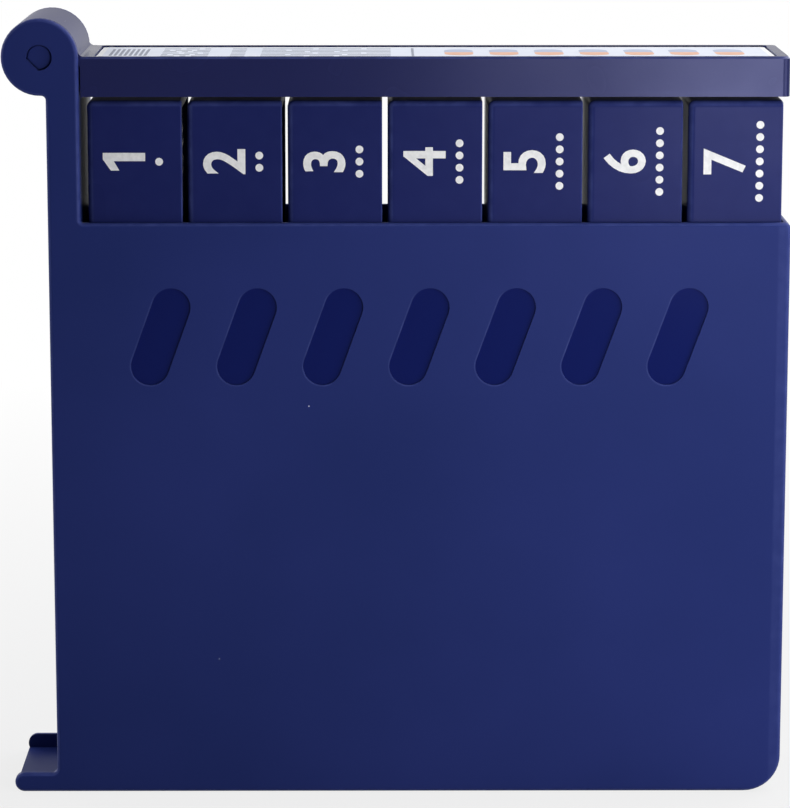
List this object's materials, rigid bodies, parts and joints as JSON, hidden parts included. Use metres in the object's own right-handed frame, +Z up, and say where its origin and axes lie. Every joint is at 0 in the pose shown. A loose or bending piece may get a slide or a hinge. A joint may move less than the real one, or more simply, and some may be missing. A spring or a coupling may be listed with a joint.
{
  "type": "weekly pill box",
  "caption": "Flat upright pill box: moulded case holding a row of lift-out day trays with sliding clear covers, closed by a narrow lid hinged at one side that folds right round.",
  "frame": {"origin": "middle of the box's footprint, on the surface that it stands on", "axes": "+X along the row of trays away from the hinge, +Y from the front panel to the back, +Z up"},
  "size_m": [0.1416, 0.028, 0.1429],
  "materials": {
    "case_plastic": "satin navy blue, fine moulded grain",
    "lid_plastic": "satin navy blue",
    "tray_plastic": "smooth satin navy blue",
    "pin_plastic": "moulded navy blue",
    "cover_plastic": "clear gloss",
    "label_film": "white printed film"
  },
  "bodies": {
    "case": {"case": "case_plastic", "hinge_pin": "pin_plastic"},
    "lid": {"lid": "lid_plastic", "lid_label": "label_film"},
    "day_tray_1": {"day_tray_1": "tray_plastic"},
    "tray_cover_1": {"tray_cover_1": "cover_plastic"},
    "day_tray_2": {"day_tray_2": "tray_plastic"},
    "tray_cover_2": {"tray_cover_2": "cover_plastic"},
    "day_tray_3": {"day_tray_3": "tray_plastic"},
    "tray_cover_3": {"tray_cover_3": "cover_plastic"},
    "day_tray_4": {"day_tray_4": "tray_plastic"},
    "tray_cover_4": {"tray_cover_4": "cover_plastic"},
    "day_tray_5": {"day_tray_5": "tray_plastic"},
    "tray_cover_5": {"tray_cover_5": "cover_plastic"},
    "day_tray_6": {"day_tray_6": "tray_plastic"},
    "tray_cover_6": {"tray_cover_6": "cover_plastic"},
    "day_tray_7": {"day_tray_7": "tray_plastic"},
    "tray_cover_7": {"tray_cover_7": "cover_plastic"}
  },
  "joints": [
    {"name": "lid_swing", "type": "hinge", "parent": "case", "child": "lid", "pos_m": [-0.06395, 0, 0.136], "axis": [0, -1, 0], "range_deg": [0, 270]},
    {"name": "tray_1_lift", "type": "slide", "parent": "case", "child": "day_tray_1", "axis": [0, 0, 1], "range_m": [0, 0.1012]},
    {"name": "cover_1_slide", "type": "slide", "parent": "day_tray_1", "child": "tray_cover_1", "axis": [0, 0, -1], "range_m": [0, 0.0911]},
    {"name": "tray_2_lift", "type": "slide", "parent": "case", "child": "day_tray_2", "axis": [0, 0, 1], "range_m": [0, 0.1012]},
    {"name": "cover_2_slide", "type": "slide", "parent": "day_tray_2", "child": "tray_cover_2", "axis": [0, 0, -1], "range_m": [0, 0.0911]},
    {"name": "tray_3_lift", "type": "slide", "parent": "case", "child": "day_tray_3", "axis": [0, 0, 1], "range_m": [0, 0.1012]},
    {"name": "cover_3_slide", "type": "slide", "parent": "day_tray_3", "child": "tray_cover_3", "axis": [0, 0, -1], "range_m": [0, 0.0911]},
    {"name": "tray_4_lift", "type": "slide", "parent": "case", "child": "day_tray_4", "axis": [0, 0, 1], "range_m": [0, 0.1012]},
    {"name": "cover_4_slide", "type": "slide", "parent": "day_tray_4", "child": "tray_cover_4", "axis": [0, 0, -1], "range_m": [0, 0.0911]},
    {"name": "tray_5_lift", "type": "slide", "parent": "case", "child": "day_tray_5", "axis": [0, 0, 1], "range_m": [0, 0.1012]},
    {"name": "cover_5_slide", "type": "slide", "parent": "day_tray_5", "child": "tray_cover_5", "axis": [0, 0, -1], "range_m": [0, 0.0911]},
    {"name": "tray_6_lift", "type": "slide", "parent": "case", "child": "day_tray_6", "axis": [0, 0, 1], "range_m": [0, 0.1012]},
    {"name": "cover_6_slide", "type": "slide", "parent": "day_tray_6", "child": "tray_cover_6", "axis": [0, 0, -1], "range_m": [0, 0.0911]},
    {"name": "tray_7_lift", "type": "slide", "parent": "case", "child": "day_tray_7", "axis": [0, 0, 1], "range_m": [0, 0.1012]},
    {"name": "cover_7_slide", "type": "slide", "parent": "day_tray_7", "child": "tray_cover_7", "axis": [0, 0, -1], "range_m": [0, 0.0911]}
  ],
  "couplings": [
    {"joint": "tray_1_lift", "follows": "lid_swing", "m_per_rad": 0.008},
    {"joint": "cover_1_slide", "follows": "lid_swing", "m_per_rad": 0.0066},
    {"joint": "tray_2_lift", "follows": "lid_swing", "m_per_rad": 0.008},
    {"joint": "cover_2_slide", "follows": "lid_swing", "m_per_rad": 0.0066},
    {"joint": "tray_3_lift", "follows": "lid_swing", "m_per_rad": 0.008},
    {"joint": "cover_3_slide", "follows": "lid_swing", "m_per_rad": 0.0066},
    {"joint": "tray_4_lift", "follows": "lid_swing", "m_per_rad": 0.008},
    {"joint": "cover_4_slide", "follows": "lid_swing", "m_per_rad": 0.0066},
    {"joint": "tray_5_lift", "follows": "lid_swing", "m_per_rad": 0.008},
    {"joint": "cover_5_slide", "follows": "lid_swing", "m_per_rad": 0.0066},
    {"joint": "tray_6_lift", "follows": "lid_swing", "m_per_rad": 0.008},
    {"joint": "cover_6_slide", "follows": "lid_swing", "m_per_rad": 0.0066},
    {"joint": "tray_7_lift", "follows": "lid_swing", "m_per_rad": 0.008},
    {"joint": "cover_7_slide", "follows": "lid_swing", "m_per_rad": 0.0066}
  ]
}
